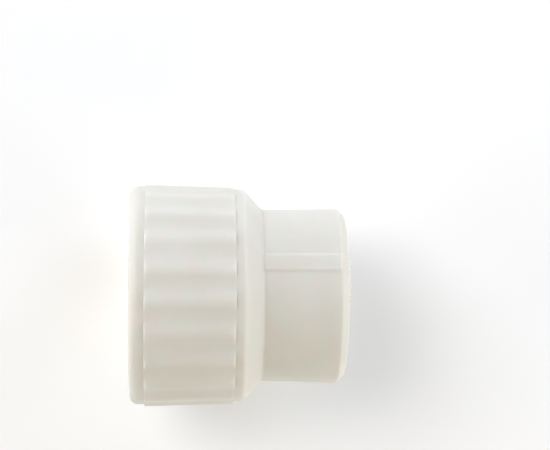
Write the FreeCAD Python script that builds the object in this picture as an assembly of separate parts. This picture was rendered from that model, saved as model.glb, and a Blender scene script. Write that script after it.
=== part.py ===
import FreeCAD, Part
import math
import os

# Pipe adapter moulded in polypropylene: a fusion socket for 25 mm pipe at one end, and a brass
# insert with a G 3/4 female thread at the other. Its axis is X. X = 0 is the face of the threaded
# end, +X points out of the socket, and +Z is up as the adapter lies on its grip ribs.

# Outside of the moulding: places along the axis, then radii
LENGTH = 46.6
GRIP_START = 3.3
GRIP_END = 22.5
SHOULDER_START = 24.6
NECK_START = 28.7
NECK_END = 45.15
COLLAR_R_FRONT = 23.95
COLLAR_R_BACK = 23.26
NECK_R_FRONT = 18.8
NECK_R_BACK = 19.12
SOCKET_FACE_R = 17.65
RIM_ROUND = 1.8
SHOULDER_ROUND = 1.1
NECK_ROOT_ROUND = 0.7
NECK_END_ROUND = 0.6
SOCKET_FACE_ROUND = 0.3

# Grip ribs: a wave of round crests and scallops, whose valleys are nearly flush with the collars
RIB_COUNT = 22
RIB_CREST_R_FRONT = 24.36
RIB_CREST_R_BACK = 23.88
RIB_VALLEY_STEP = 0.03
RIB_CREST_ROUND = 4.0
RIB_END_CHAMFER = 0.05

# Raised strips along the neck that line the fitting up with the pipe
STRIP_COUNT = 2
STRIP_ANGLE = 33.3
STRIP_TOP_ANGLE = 9.4
STRIP_FOOT_ANGLE = 13.4
STRIP_HEIGHT = 0.27
STRIP_ROOT_R = 17.8
STRIP_START = 27.5
STRIP_END_SLOPE = 0.4

# Plain raised bars on the socket's end face, where the mould is marked
MARK_ANGLES = (9.0, 18.0, 27.0, 37.5)
MARK_WIDTH_ANGLE = 5.0
MARK_INNER_R = 15.2
MARK_OUTER_R = 17.0
MARK_HEIGHT = 0.35
MARK_ROOT = 0.5
MARK_ROUND = 0.15

# Fusion socket and water way
SOCKET_R = 12.1
SOCKET_DEPTH = 17.0
SOCKET_MOUTH_CHAMFER = 0.8
WATER_WAY_R = 9.5

# G 3/4 internal thread: the bore is drilled at the standard's largest minor diameter
THREAD_PITCH = 1.814
THREAD_ROOT_R = 13.22
THREAD_CREST_R = 12.33
THREAD_PITCH_R = 12.639
THREAD_HALF_ANGLE = 27.5
THREAD_END = 15.2
THREAD_BORE_END = 16.8
THREAD_MOUTH_R = 13.4
THREAD_MOUTH_DEPTH = 0.62
THREAD_TOOL_CLEARANCE = 0.3

# Outside of the brass insert
INSERT_LENGTH = 22.6
INSERT_FLANGE_R = 17.0
INSERT_FLANGE_THICK = 2.0
INSERT_BARREL_R = 15.4
INSERT_TAIL_R = 14.5
INSERT_TAIL_START = 15.6
KNURL_BANDS = ((4.0, 8.2), (10.0, 14.2))
KNURL_TIP_R = 16.2
KNURL_TEETH = 48

# Seal rings in the insert's tail
SEAL_SECTION_R = 0.9
SEAL_RING_R = 13.7
SEAL_GROOVE_R = 12.75
SEAL_GROOVE_WIDTH = 2.2
SEAL_PLACES = {"front_seal_ring": 18.1, "rear_seal_ring": 20.9}

# How far a cutting shape runs past the face that it opens
OVERRUN = 1.0


def on_ray(x, radius, angle):
    """A point at this radius from the axis, at an angle from +Z towards +Y."""
    turn = math.radians(angle)
    return FreeCAD.Vector(x, radius * math.sin(turn), radius * math.cos(turn))


def rounded_corner(before, corner, after, radius):
    """The start, middle and end of the arc that rounds one corner of an outline."""
    arm_in = (before - corner).normalize()
    arm_out = (after - corner).normalize()
    half = arm_in.getAngle(arm_out) / 2
    reach = radius / math.tan(half)
    centre = corner + (arm_in + arm_out).normalize() * (radius / math.sin(half))
    middle = centre + (corner - centre).normalize() * radius
    return corner + arm_in * reach, middle, corner + arm_out * reach


def outline_face(points):
    """A flat face from (x, radius, rounding) corners, with a rounding of 0 left sharp."""
    corners = [FreeCAD.Vector(x, 0, r) for x, r, rounding in points]
    edges = []
    ends = []
    for i, (x, r, rounding) in enumerate(points):
        if rounding == 0:
            ends.append((corners[i], corners[i]))
            continue
        arc = rounded_corner(corners[i - 1], corners[i], corners[(i + 1) % len(points)], rounding)
        edges.append(Part.Arc(*arc).toShape())
        ends.append((arc[0], arc[2]))
    for i, (start, end) in enumerate(ends):
        edges.append(Part.makeLine(end, ends[(i + 1) % len(ends)][0]))
    return Part.Face(Part.Wire(Part.__sortEdges__(edges)))


def turned(points):
    """A solid of revolution about the axis."""
    return outline_face(points).revolve(FreeCAD.Vector(0, 0, 0), FreeCAD.Vector(1, 0, 0), 360)


def sector(points, angle, width):
    """A slice of a solid of revolution, centred on an angle from +Z towards +Y."""
    axis = FreeCAD.Vector(1, 0, 0)
    solid = outline_face(points).revolve(FreeCAD.Vector(0, 0, 0), axis, width)
    solid.rotate(FreeCAD.Vector(0, 0, 0), axis, -angle - width / 2)
    return solid


def ribbed_section(x, crest_r, valley_r):
    """The closed outline of the ribs across the axis: round crests joined by tangent scallops."""
    half_pitch = 180 / RIB_COUNT
    crest_centre_r = crest_r - RIB_CREST_ROUND
    spread = crest_centre_r * math.cos(math.radians(half_pitch))
    gap = valley_r ** 2 + crest_centre_r ** 2 - 2 * valley_r * spread - RIB_CREST_ROUND ** 2
    scallop_r = gap / (2 * (RIB_CREST_ROUND + spread - valley_r))
    to_next = FreeCAD.Rotation(FreeCAD.Vector(1, 0, 0), -2 * half_pitch)
    edges = []
    for i in range(RIB_COUNT):
        valley_angle = 2 * half_pitch * i
        next_valley_angle = valley_angle + 2 * half_pitch
        crest_angle = valley_angle + half_pitch
        centre = on_ray(x, crest_centre_r, crest_angle)
        joints = []
        for side_angle in (valley_angle, next_valley_angle):
            scallop_centre = on_ray(x, valley_r + scallop_r, side_angle)
            joints.append(centre + (scallop_centre - centre).normalize() * RIB_CREST_ROUND)
        edges.append(Part.Arc(joints[0], on_ray(x, crest_r, crest_angle), joints[1]).toShape())
        valley = on_ray(x, valley_r, next_valley_angle)
        edges.append(Part.Arc(joints[1], valley, to_next.multVec(joints[0])).toShape())
    return Part.Wire(edges)


def grip_ribs():
    """The ribbed band, with a small chamfer at both ends of the ribs."""
    crest_slope = (RIB_CREST_R_BACK - RIB_CREST_R_FRONT) / (GRIP_END - GRIP_START)
    collar_slope = (COLLAR_R_BACK - COLLAR_R_FRONT) / SHOULDER_START
    sections = []
    for x, drop in (
        (GRIP_START, RIB_END_CHAMFER),
        (GRIP_START + RIB_END_CHAMFER, 0),
        (GRIP_END - RIB_END_CHAMFER, 0),
        (GRIP_END, RIB_END_CHAMFER),
    ):
        crest_r = RIB_CREST_R_FRONT + crest_slope * (x - GRIP_START) - drop
        valley_r = COLLAR_R_FRONT + collar_slope * x + RIB_VALLEY_STEP
        sections.append(ribbed_section(x, crest_r, valley_r))
    return Part.makeLoft(sections, True, True)


def strip_section(x, neck_r, height, angle):
    """The outline of a neck strip across the axis: a curved top, sloping sides and a buried root."""
    foot = STRIP_FOOT_ANGLE / 2
    top = STRIP_TOP_ANGLE / 2
    top_r = neck_r + height
    corners = [
        on_ray(x, top_r, angle + top),
        on_ray(x, neck_r, angle + foot),
        on_ray(x, STRIP_ROOT_R, angle + foot),
        on_ray(x, STRIP_ROOT_R, angle - foot),
        on_ray(x, neck_r, angle - foot),
        on_ray(x, top_r, angle - top),
    ]
    edges = [Part.makeLine(*pair) for pair in zip(corners[:-1], corners[1:])]
    edges.append(Part.Arc(corners[-1], on_ray(x, top_r, angle), corners[0]).toShape())
    return Part.Wire(edges)


def neck_strip(angle):
    """One raised strip, from inside the shoulder to a slope at the socket's end."""
    neck_slope = (NECK_R_BACK - NECK_R_FRONT) / (NECK_END - NECK_START)
    sections = []
    for x, height in (
        (STRIP_START, STRIP_HEIGHT),
        (NECK_END - STRIP_END_SLOPE, STRIP_HEIGHT),
        (NECK_END, 0),
    ):
        neck_r = NECK_R_FRONT + neck_slope * (x - NECK_START)
        sections.append(strip_section(x, neck_r, height, angle))
    return Part.makeLoft(sections, True, True)


def end_mark(angle):
    """One plain raised bar on the socket's end face."""
    profile = [
        (LENGTH - MARK_ROOT, MARK_INNER_R, 0),
        (LENGTH - MARK_ROOT, MARK_OUTER_R, 0),
        (LENGTH + MARK_HEIGHT, MARK_OUTER_R, MARK_ROUND),
        (LENGTH + MARK_HEIGHT, MARK_INNER_R, MARK_ROUND),
    ]
    return sector(profile, angle, MARK_WIDTH_ANGLE)


def insert_outline(with_grooves):
    """Corners of the insert's outside, from the middle of its front face to that of its back face."""
    corners = [
        (0, 0, 0),
        (0, INSERT_FLANGE_R, 0),
        (INSERT_FLANGE_THICK, INSERT_FLANGE_R, 0),
        (INSERT_FLANGE_THICK, INSERT_BARREL_R, 0),
        (INSERT_TAIL_START, INSERT_BARREL_R, 0),
        (INSERT_TAIL_START, INSERT_TAIL_R, 0),
    ]
    if with_grooves:
        for middle in SEAL_PLACES.values():
            start = middle - SEAL_GROOVE_WIDTH / 2
            end = middle + SEAL_GROOVE_WIDTH / 2
            corners.append((start, INSERT_TAIL_R, 0))
            corners.append((start, SEAL_GROOVE_R, 0))
            corners.append((end, SEAL_GROOVE_R, 0))
            corners.append((end, INSERT_TAIL_R, 0))
    corners.append((INSERT_LENGTH, INSERT_TAIL_R, 0))
    corners.append((INSERT_LENGTH, 0, 0))
    return corners


def knurl_band(start, end):
    """A band of straight teeth that keeps the insert from turning in the moulding."""
    points = []
    for i in range(2 * KNURL_TEETH):
        radius = KNURL_TIP_R if i % 2 else INSERT_BARREL_R
        points.append(on_ray(start, radius, 180 * i / KNURL_TEETH))
    face = Part.Face(Part.makePolygon(points + [points[0]]))
    return face.extrude(FreeCAD.Vector(end - start, 0, 0))


def insert_envelope():
    """All that the moulding closes around: the insert with its bore and seal grooves filled."""
    bands = [knurl_band(start, end) for start, end in KNURL_BANDS]
    return turned(insert_outline(False)).multiFuse(bands)


def seal_ring(x):
    """One O-ring around the axis."""
    torus = Part.makeTorus(SEAL_RING_R, SEAL_SECTION_R, FreeCAD.Vector(0, 0, 0), FreeCAD.Vector(1, 0, 0))
    torus.translate(FreeCAD.Vector(x, 0, 0))
    return torus


def moulded_body():
    """The polypropylene moulding."""
    outside = turned([
        (0, 0, 0),
        (0, COLLAR_R_FRONT, RIM_ROUND),
        (SHOULDER_START, COLLAR_R_BACK, SHOULDER_ROUND),
        (NECK_START, NECK_R_FRONT, NECK_ROOT_ROUND),
        (NECK_END, NECK_R_BACK, NECK_END_ROUND),
        (LENGTH, SOCKET_FACE_R, SOCKET_FACE_ROUND),
        (LENGTH, 0, 0),
    ])
    strips = [neck_strip(STRIP_ANGLE + 360 * i / STRIP_COUNT) for i in range(STRIP_COUNT)]
    marks = [end_mark(angle) for angle in MARK_ANGLES]
    solid = outside.multiFuse([grip_ribs()] + strips + marks)
    socket_start = LENGTH - SOCKET_DEPTH
    bore = turned([
        (INSERT_LENGTH - OVERRUN, 0, 0),
        (INSERT_LENGTH - OVERRUN, WATER_WAY_R, 0),
        (socket_start, WATER_WAY_R, 0),
        (socket_start, SOCKET_R, 0),
        (LENGTH - SOCKET_MOUTH_CHAMFER, SOCKET_R, 0),
        (LENGTH, SOCKET_R + SOCKET_MOUTH_CHAMFER, 0),
        (LENGTH + OVERRUN, SOCKET_R + SOCKET_MOUTH_CHAMFER, 0),
        (LENGTH + OVERRUN, 0, 0),
    ])
    seals = [seal_ring(x) for x in SEAL_PLACES.values()]
    return solid.cut([insert_envelope(), bore] + seals)


def thread_groove():
    """The helical groove of the female thread, entering through the mouth."""
    slope = math.tan(math.radians(THREAD_HALF_ANGLE))
    inner_r = THREAD_CREST_R - THREAD_TOOL_CLEARANCE
    start = -THREAD_PITCH
    inner_half = THREAD_PITCH / 4 + (THREAD_PITCH_R - inner_r) * slope
    root_half = THREAD_PITCH / 4 - (THREAD_ROOT_R - THREAD_PITCH_R) * slope
    helix = Part.makeHelix(THREAD_PITCH, THREAD_END - start, inner_r)
    corners = [
        FreeCAD.Vector(inner_r, 0, -inner_half),
        FreeCAD.Vector(THREAD_ROOT_R, 0, -root_half),
        FreeCAD.Vector(THREAD_ROOT_R, 0, root_half),
        FreeCAD.Vector(inner_r, 0, inner_half),
    ]
    profile = Part.makePolygon(corners + [corners[0]])
    groove = Part.Wire(helix.Edges).makePipeShell([profile], True, True)
    groove.rotate(FreeCAD.Vector(0, 0, 0), FreeCAD.Vector(0, 1, 0), 90)
    groove.translate(FreeCAD.Vector(start, 0, 0))
    return groove


def threaded_insert():
    """The brass insert, turned and knurled outside, bored and threaded inside."""
    bands = [knurl_band(start, end) for start, end in KNURL_BANDS]
    blank = turned(insert_outline(True)).multiFuse(bands)
    bore = turned([
        (-OVERRUN, 0, 0),
        (-OVERRUN, THREAD_MOUTH_R, 0),
        (0, THREAD_MOUTH_R, 0),
        (THREAD_MOUTH_DEPTH, THREAD_CREST_R, 0),
        (THREAD_BORE_END, THREAD_CREST_R, 0),
        (THREAD_BORE_END, WATER_WAY_R, 0),
        (INSERT_LENGTH + OVERRUN, WATER_WAY_R, 0),
        (INSERT_LENGTH + OVERRUN, 0, 0),
    ])
    return blank.cut(bore).cut(thread_groove())


def export(name, shape):
    """Write one sub-part as a single clean solid."""
    solid = shape.removeSplitter()
    if len(solid.Solids) != 1:
        raise ValueError(name + " is not one solid")
    solid.Solids[0].exportStep("parts/" + name + ".step")


os.makedirs("parts", exist_ok=True)
export("moulded_body", moulded_body())
export("threaded_insert", threaded_insert())
for ring_name, ring_x in SEAL_PLACES.items():
    export(ring_name, seal_ring(ring_x))
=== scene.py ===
import math

import bpy
from mathutils import Matrix, Vector


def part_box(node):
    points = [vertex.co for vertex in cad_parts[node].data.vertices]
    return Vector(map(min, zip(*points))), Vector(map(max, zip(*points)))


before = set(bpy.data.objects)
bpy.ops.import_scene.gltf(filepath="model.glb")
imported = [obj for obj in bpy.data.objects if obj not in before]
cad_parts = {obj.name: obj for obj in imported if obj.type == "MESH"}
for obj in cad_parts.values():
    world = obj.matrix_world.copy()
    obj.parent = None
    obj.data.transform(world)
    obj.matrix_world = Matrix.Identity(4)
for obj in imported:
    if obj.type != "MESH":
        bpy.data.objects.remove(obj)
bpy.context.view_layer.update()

MM = 0.001

# The view: straight down on the fitting as it lies, leaning a little towards its back and its thread
VIEW_DISTANCE = 400 * MM
VIEW_WIDTH_AT_AXIS = 121 * MM
LEAN_TO_BACK = math.radians(9.2)
LEAN_TO_THREAD = math.radians(3.18)
VIEW_ROLL = math.radians(-0.36)
FITTING_RIGHT_OF_VIEW = -8.3 * MM
FITTING_ABOVE_VIEW = -15.45 * MM
SENSOR_WIDTH = 36.0
NEAREST_SEEN = 10 * MM

# Soft boxes round the fitting: turn and height in degrees, power in watts, colour
SOFT_BOX_SIZE = 0.5
SOFT_BOX_DISTANCE = 0.9
SOFT_BOXES = (
    ("key_box", 315, 50, 4.00, (1.0, 0.96, 0.91)),
    ("back_left_box", 315, 20, 1.75, (0.56, 0.72, 1.0)),
    ("back_right_box", 45, 20, 2.95, (0.75, 0.84, 1.0)),
    ("socket_side_box", 90, 15, 2.10, (1.0, 0.96, 0.92)),
    ("front_right_box", 135, 18, 2.20, (1.0, 0.97, 0.89)),
    ("front_box", 180, 20, 1.10, (1.0, 0.96, 0.78)),
    ("thread_side_box", 270, 15, 2.45, (1.0, 0.99, 0.99)),
)
WORLD_COLOUR = (1.0, 1.0, 1.0)
WORLD_STRENGTH = 0.18

# The table top
FLOOR_HALF_SIZE = 1.5
FLOOR_GLOW = 0.13
FLOOR_ROUGHNESS = 0.9
PAPER_DARK = (0.93, 0.93, 0.93)
PAPER_LIGHT = (0.95, 0.95, 0.95)

# The moulding's colours: its milky white and that white's faint tints, specks, and a beige painted shade
# in its corners
MILK_DARK = (0.752, 0.727, 0.668)
MILK_LIGHT = (0.778, 0.755, 0.704)
TINT_PINK = (1.0, 0.975, 0.965)
TINT_GREEN = (0.975, 1.0, 0.965)
SPECK_GREY = (0.30, 0.28, 0.24)
# Painted shade: the beige that darkens the plastic deep in its corners, and how much of it
CORNER_SHADE_BEIGE = (0.56, 0.51, 0.43)
STREAK_SHARE = 0.35
SPECK_SHARE = 0.45
SPECK_RARITY = 0.84
CORNER_SHADE_SHARE = 0.03

# The moulding's gloss and its milky depth
PLASTIC_ROUGHNESS = (0.36, 0.48)
STREAK_ROUGHNESS = 0.08
EDGE_POLISH = 0.12
PLASTIC_IOR = 1.49
SCATTER_DEPTH = 2.2 * MM
SCATTER_OF_RED_GREEN_BLUE = (1.0, 0.92, 0.82)

# The insert's colours: clean, tarnished, stained and rubbed bright
BRASS = (0.80, 0.60, 0.30)
BRASS_TARNISHED = (0.62, 0.42, 0.19)
BRASS_STAINED = (0.34, 0.21, 0.10)
BRASS_RUBBED = (0.90, 0.72, 0.40)
TARNISH_SHARE = 0.6
STAIN_SHARE = 0.35
GRIME_SHARE = 0.55
RUBBED_SHARE = 0.5
BRASS_ROUGHNESS = (0.22, 0.36)
LATHE_ROUGHNESS = 0.08
RUBBED_POLISH = 0.08

# The seal rings
RUBBER_BLACK = (0.018, 0.018, 0.02)
RUBBER_DUSTED = (0.05, 0.05, 0.05)
RUBBER_ROUGHNESS = (0.6, 0.8)

# How far from a corner the plastic's painted shade and the brass's grime reach
CORNER_SHADE_REACH = 1.2 * MM
GRIME_REACH = 0.9 * MM

# Texture scales, in repeats per metre
CLOUDS = 90.0
TINTS = 300.0
STREAKS = 900.0
STREAK_STRETCH = 0.05
SPECKS = 150.0
SMEARS = 260.0
WAVES = 170.0
PLASTIC_GRAIN = 5200.0
TARNISH = 240.0
STAINS = 900.0
LATHE_RINGS = 7000.0
RUBBER_DUST = 700.0
RUBBER_GRAIN = 9000.0
PAPER_TOOTH = 900.0

# Bump depths
WAVE_DEPTH = 0.06 * MM
STREAK_DEPTH = 0.012 * MM
PLASTIC_GRAIN_DEPTH = 0.008 * MM
LATHE_DEPTH = 0.010 * MM
STAIN_DEPTH = 0.004 * MM
RUBBER_GRAIN_DEPTH = 0.01 * MM
PAPER_TOOTH_DEPTH = 0.01 * MM

# Where a colour Mix node keeps its two colours, and its result
MIX_FIRST = 6
MIX_SECOND = 7
MIX_RESULT = 2

body_low, body_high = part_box("moulded_body")
AXIS_MIDDLE = Vector(((body_low.x + body_high.x) / 2, 0, 0))
FLOOR_HEIGHT = body_low.z


# ---- Nodes ----

def new_material(name):
    """A fresh material with its nodes, links, Principled shader and the object's own coordinates."""
    material = bpy.data.materials.new(name)
    material.use_nodes = True
    tree = material.node_tree
    coords = tree.nodes.new("ShaderNodeTexCoord").outputs["Object"]
    return material, tree.nodes, tree.links, tree.nodes["Principled BSDF"], coords


def add_node(nodes, kind, inputs=None, **settings):
    """A node with some of its sockets and settings filled in."""
    node = nodes.new(kind)
    for key, value in settings.items():
        setattr(node, key, value)
    for key, value in (inputs or {}).items():
        node.inputs[key].default_value = value
    return node


def noise(nodes, links, coords, scale, detail=3.0, roughness=0.5):
    """Noise with its scale in repeats per metre."""
    sockets = {"Scale": scale, "Detail": detail, "Roughness": roughness}
    node = add_node(nodes, "ShaderNodeTexNoise", sockets)
    links.new(coords, node.inputs["Vector"])
    return node.outputs["Fac"]


def spread(nodes, links, value, source, target=(0, 1), smooth=False):
    """Map one range of values, (from, to), to another."""
    node = add_node(nodes, "ShaderNodeMapRange", {
        "From Min": source[0], "From Max": source[1], "To Min": target[0], "To Max": target[1],
    })
    if smooth:
        node.interpolation_type = "SMOOTHSTEP"
    links.new(value, node.inputs["Value"])
    return node.outputs["Result"]


def arithmetic(nodes, links, operation, a, b):
    """One sum of two values, each a number or another node's output."""
    node = add_node(nodes, "ShaderNodeMath", operation=operation)
    for socket, value in zip(node.inputs, (a, b)):
        if isinstance(value, (int, float)):
            socket.default_value = value
        else:
            links.new(value, socket)
    return node.outputs["Value"]


def blend_colours(nodes, links, share, first, second):
    """Mix two colours, each a tuple or another node's output."""
    node = add_node(nodes, "ShaderNodeMix", data_type="RGBA")
    links.new(share, node.inputs["Factor"])
    for place, value in ((MIX_FIRST, first), (MIX_SECOND, second)):
        socket = node.inputs[place]
        if isinstance(value, tuple):
            socket.default_value = (*value, 1)
        else:
            links.new(value, socket)
    return node.outputs[MIX_RESULT]


def multiply_colours(nodes, links, first, second):
    """Tint one colour output with another."""
    settings = {"data_type": "RGBA", "blend_type": "MULTIPLY"}
    node = add_node(nodes, "ShaderNodeMix", {"Factor": 1.0}, **settings)
    links.new(first, node.inputs[MIX_FIRST])
    links.new(second, node.inputs[MIX_SECOND])
    return node.outputs[MIX_RESULT]


def bumps(nodes, links, shader, layers):
    """Stack bump layers, each (height output, depth in metres), on the shader's normal."""
    normal = None
    for height, depth in layers:
        node = add_node(nodes, "ShaderNodeBump", {"Strength": 1.0, "Distance": depth})
        links.new(height, node.inputs["Height"])
        if normal is not None:
            links.new(normal, node.inputs["Normal"])
        normal = node.outputs["Normal"]
    links.new(normal, shader.inputs["Normal"])


# Ambient occlusion mask: it paints shade into the plastic's corners, and places grime in the brass's
# thread roots
def corner_shade_and_grime(nodes, links, reach):
    """How deep in a corner a point lies: 0 on open faces, 1 in a tight groove."""
    shade = add_node(nodes, "ShaderNodeAmbientOcclusion", {"Distance": reach}, samples=8)
    return spread(nodes, links, shade.outputs["AO"], (0.45, 0.95), (1, 0))


def rubbed_edge(nodes, links):
    """How sharp an outer edge a point lies on: 0 on faces and in corners, 1 on an edge."""
    point = add_node(nodes, "ShaderNodeNewGeometry")
    return spread(nodes, links, point.outputs["Pointiness"], (0.52, 0.62), smooth=True)


def flow_streaks(nodes, links, coords):
    """Fine streaks along the axis, the way the plastic flowed and the mould was pulled."""
    along = add_node(nodes, "ShaderNodeMapping", {"Scale": (STREAK_STRETCH, 1.0, 1.0)})
    links.new(coords, along.inputs["Vector"])
    return noise(nodes, links, along.outputs["Vector"], STREAKS, 3.0, 0.6)


def rare_specks(nodes, links, coords):
    """Small dark specks in a few of the cells that the plastic is divided into."""
    cells = add_node(nodes, "ShaderNodeTexVoronoi", {"Scale": SPECKS, "Randomness": 1.0})
    links.new(coords, cells.inputs["Vector"])
    near = spread(nodes, links, cells.outputs["Distance"], (0.014, 0.04), (1, 0), smooth=True)
    chosen = add_node(nodes, "ShaderNodeSeparateColor")
    links.new(cells.outputs["Color"], chosen.inputs["Color"])
    rare = arithmetic(nodes, links, "GREATER_THAN", chosen.outputs["Red"], SPECK_RARITY)
    return arithmetic(nodes, links, "MULTIPLY", near, rare)


def lathe_rings(nodes, links, coords):
    """Tool marks round the axis, which follow the radius on faces and the length in bores."""
    parts = add_node(nodes, "ShaderNodeSeparateXYZ")
    links.new(coords, parts.inputs["Vector"])
    across = add_node(nodes, "ShaderNodeCombineXYZ")
    links.new(parts.outputs["Y"], across.inputs["Y"])
    links.new(parts.outputs["Z"], across.inputs["Z"])
    radius = add_node(nodes, "ShaderNodeVectorMath", operation="LENGTH")
    links.new(across.outputs["Vector"], radius.inputs[0])
    place = arithmetic(nodes, links, "ADD", radius.outputs["Value"], parts.outputs["X"])
    sockets = {"Scale": LATHE_RINGS, "Detail": 2.0}
    rings = add_node(nodes, "ShaderNodeTexNoise", sockets, noise_dimensions="1D")
    links.new(place, rings.inputs["W"])
    return rings.outputs["Fac"]


# ---- Materials ----

def white_polypropylene():
    """Milky moulded polypropylene: satin, slightly translucent, with flow marks, clouds and specks."""
    material, nodes, links, shader, coords = new_material("white_polypropylene")

    clouds = spread(nodes, links, noise(nodes, links, coords, CLOUDS, 4.0, 0.55), (0.35, 0.65))
    milk = blend_colours(nodes, links, clouds, MILK_DARK, MILK_LIGHT)
    tints = spread(nodes, links, noise(nodes, links, coords, TINTS, 2.0), (0.35, 0.65))
    milk = multiply_colours(nodes, links, milk, blend_colours(nodes, links, tints, TINT_PINK, TINT_GREEN))
    streaks = flow_streaks(nodes, links, coords)
    pale = spread(nodes, links, streaks, (0.5, 0.8), (0, STREAK_SHARE))
    milk = blend_colours(nodes, links, pale, milk, MILK_LIGHT)
    specks = arithmetic(nodes, links, "MULTIPLY", rare_specks(nodes, links, coords), SPECK_SHARE)
    milk = blend_colours(nodes, links, specks, milk, SPECK_GREY)
    # Painted shade: the plastic turns a little darker and beige where corners are deep, as at the ribs'
    # ends
    dust_and_corner_shade = arithmetic(nodes, links, "MULTIPLY", corner_shade_and_grime(nodes, links, CORNER_SHADE_REACH), CORNER_SHADE_SHARE)
    milk = blend_colours(nodes, links, dust_and_corner_shade, milk, CORNER_SHADE_BEIGE)
    links.new(milk, shader.inputs["Base Color"])

    smears = noise(nodes, links, coords, SMEARS, 3.0, 0.6)
    satin = spread(nodes, links, smears, (0.3, 0.7), PLASTIC_ROUGHNESS)
    drawn = arithmetic(nodes, links, "MULTIPLY", streaks, STREAK_ROUGHNESS)
    satin = arithmetic(nodes, links, "ADD", satin, drawn)
    polish = arithmetic(nodes, links, "MULTIPLY", rubbed_edge(nodes, links), EDGE_POLISH)
    links.new(arithmetic(nodes, links, "SUBTRACT", satin, polish), shader.inputs["Roughness"])
    shader.inputs["IOR"].default_value = PLASTIC_IOR
    shader.inputs["Subsurface Weight"].default_value = 1.0
    shader.inputs["Subsurface Radius"].default_value = SCATTER_OF_RED_GREEN_BLUE
    shader.inputs["Subsurface Scale"].default_value = SCATTER_DEPTH

    waves = noise(nodes, links, coords, WAVES, 2.0)
    grain = noise(nodes, links, coords, PLASTIC_GRAIN, 2.0)
    layers = [(waves, WAVE_DEPTH), (streaks, STREAK_DEPTH), (grain, PLASTIC_GRAIN_DEPTH)]
    bumps(nodes, links, shader, layers)
    return material


def turned_brass():
    """Brass with lathe rings, rubbed crests, and tarnish in patches and in the thread's roots."""
    material, nodes, links, shader, coords = new_material("turned_brass")

    patches = noise(nodes, links, coords, TARNISH, 4.0, 0.6)
    tarnished = spread(nodes, links, patches, (0.45, 0.7), (0, TARNISH_SHARE))
    colour = blend_colours(nodes, links, tarnished, BRASS, BRASS_TARNISHED)
    stains = noise(nodes, links, coords, STAINS, 4.0, 0.65)
    stained = spread(nodes, links, stains, (0.58, 0.75), (0, STAIN_SHARE))
    colour = blend_colours(nodes, links, stained, colour, BRASS_STAINED)
    grime = arithmetic(nodes, links, "MULTIPLY", corner_shade_and_grime(nodes, links, GRIME_REACH), GRIME_SHARE)
    colour = blend_colours(nodes, links, grime, colour, BRASS_STAINED)
    rubbed = rubbed_edge(nodes, links)
    bright = arithmetic(nodes, links, "MULTIPLY", rubbed, RUBBED_SHARE)
    colour = blend_colours(nodes, links, bright, colour, BRASS_RUBBED)
    links.new(colour, shader.inputs["Base Color"])
    shader.inputs["Metallic"].default_value = 1.0

    lathe = lathe_rings(nodes, links, coords)
    sheen = spread(nodes, links, patches, (0.3, 0.7), BRASS_ROUGHNESS)
    ringed = arithmetic(nodes, links, "MULTIPLY", lathe, LATHE_ROUGHNESS)
    sheen = arithmetic(nodes, links, "ADD", sheen, ringed)
    polish = arithmetic(nodes, links, "MULTIPLY", rubbed, RUBBED_POLISH)
    links.new(arithmetic(nodes, links, "SUBTRACT", sheen, polish), shader.inputs["Roughness"])
    bumps(nodes, links, shader, [(lathe, LATHE_DEPTH), (stains, STAIN_DEPTH)])
    return material


def seal_rubber():
    """Black EPDM with a fine matt grain and a little dusting."""
    material, nodes, links, shader, coords = new_material("seal_rubber")
    dust_and_corner_shade = noise(nodes, links, coords, RUBBER_DUST, 4.0, 0.6)
    dusted = spread(nodes, links, dust_and_corner_shade, (0.45, 0.75))
    colour = blend_colours(nodes, links, dusted, RUBBER_BLACK, RUBBER_DUSTED)
    links.new(colour, shader.inputs["Base Color"])
    links.new(spread(nodes, links, dust_and_corner_shade, (0.3, 0.7), RUBBER_ROUGHNESS), shader.inputs["Roughness"])
    grain = noise(nodes, links, coords, RUBBER_GRAIN, 2.0)
    bumps(nodes, links, shader, [(grain, RUBBER_GRAIN_DEPTH)])
    return material


def studio_floor():
    """A plain near-white table top with a faint paper tooth."""
    material, nodes, links, shader, coords = new_material("studio_floor")
    tooth = noise(nodes, links, coords, PAPER_TOOTH, 3.0, 0.6)
    colour = blend_colours(nodes, links, tooth, PAPER_DARK, PAPER_LIGHT)
    links.new(colour, shader.inputs["Base Color"])
    shader.inputs["Roughness"].default_value = FLOOR_ROUGHNESS
    shader.inputs["Emission Color"].default_value = (1, 1, 1, 1)
    shader.inputs["Emission Strength"].default_value = FLOOR_GLOW
    bumps(nodes, links, shader, [(tooth, PAPER_TOOTH_DEPTH)])
    return material


def dress(node_name, material):
    """Give a CAD node its finished material."""
    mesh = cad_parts[node_name].data
    mesh.materials.clear()
    mesh.materials.append(material)


# ---- Stage ----

def add_floor():
    """The table top that the fitting's lowest ribs rest on."""
    half = FLOOR_HALF_SIZE
    mesh = bpy.data.meshes.new("floor")
    corners = [(-half, -half, 0), (half, -half, 0), (half, half, 0), (-half, half, 0)]
    mesh.from_pydata(corners, [], [(0, 1, 2, 3)])
    floor = bpy.data.objects.new("floor", mesh)
    floor.location = (AXIS_MIDDLE.x, 0, FLOOR_HEIGHT)
    bpy.context.scene.collection.objects.link(floor)
    mesh.materials.append(studio_floor())


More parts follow.
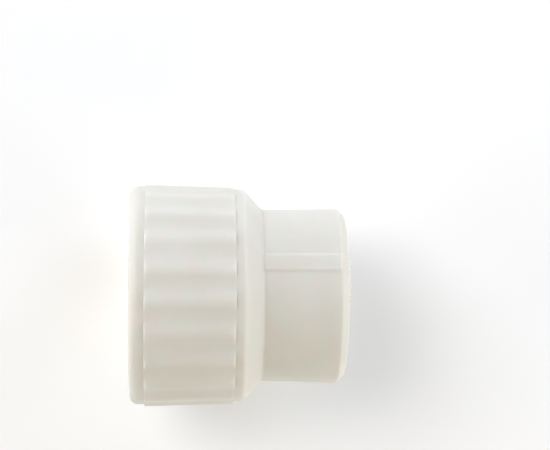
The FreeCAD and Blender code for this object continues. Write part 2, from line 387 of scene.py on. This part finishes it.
def add_soft_box(name, turn, height, power, colour):
    """A square light aimed at the fitting, its turn counted from the fitting's back to its socket."""
    light = bpy.data.lights.new(name, "AREA")
    light.shape = "SQUARE"
    light.size = SOFT_BOX_SIZE
    light.energy = power
    light.color = colour
    turn = math.radians(turn)
    height = math.radians(height)
    level = math.cos(height)
    away = Vector((math.sin(turn) * level, math.cos(turn) * level, math.sin(height)))
    lamp = bpy.data.objects.new(name, light)
    lamp.location = AXIS_MIDDLE + away * SOFT_BOX_DISTANCE
    lamp.rotation_euler = (-away).to_track_quat("-Z", "Y").to_euler()
    bpy.context.scene.collection.objects.link(lamp)


def add_world():
    """Even light from all round."""
    world = bpy.data.worlds.new("studio")
    world.use_nodes = True
    background = world.node_tree.nodes["Background"]
    background.inputs["Color"].default_value = (*WORLD_COLOUR, 1)
    background.inputs["Strength"].default_value = WORLD_STRENGTH
    bpy.context.scene.world = world


def add_camera():
    """The camera above the fitting, turned as the view asks."""
    lean = Matrix.Rotation(LEAN_TO_BACK, 3, "X")
    swing = Matrix.Rotation(LEAN_TO_THREAD, 3, "Y")
    roll = Matrix.Rotation(VIEW_ROLL, 3, "Z")
    to_view = roll @ swing @ lean
    to_row = to_view.transposed()
    offset = Vector((-FITTING_RIGHT_OF_VIEW, -FITTING_ABOVE_VIEW, VIEW_DISTANCE))
    camera_data = bpy.data.cameras.new("camera")
    camera_data.sensor_width = SENSOR_WIDTH
    camera_data.lens = SENSOR_WIDTH * VIEW_DISTANCE / VIEW_WIDTH_AT_AXIS
    camera_data.clip_start = NEAREST_SEEN
    camera = bpy.data.objects.new("camera", camera_data)
    camera.matrix_world = Matrix.Translation(AXIS_MIDDLE + to_row @ offset) @ to_row.to_4x4()
    bpy.context.scene.collection.objects.link(camera)
    bpy.context.scene.camera = camera


dress("moulded_body", white_polypropylene())
dress("threaded_insert", turned_brass())
rubber = seal_rubber()
dress("front_seal_ring", rubber)
dress("rear_seal_ring", rubber)

add_floor()
add_world()
for soft_box in SOFT_BOXES:
    add_soft_box(*soft_box)
add_camera()
bpy.context.scene.view_settings.view_transform = "Standard"
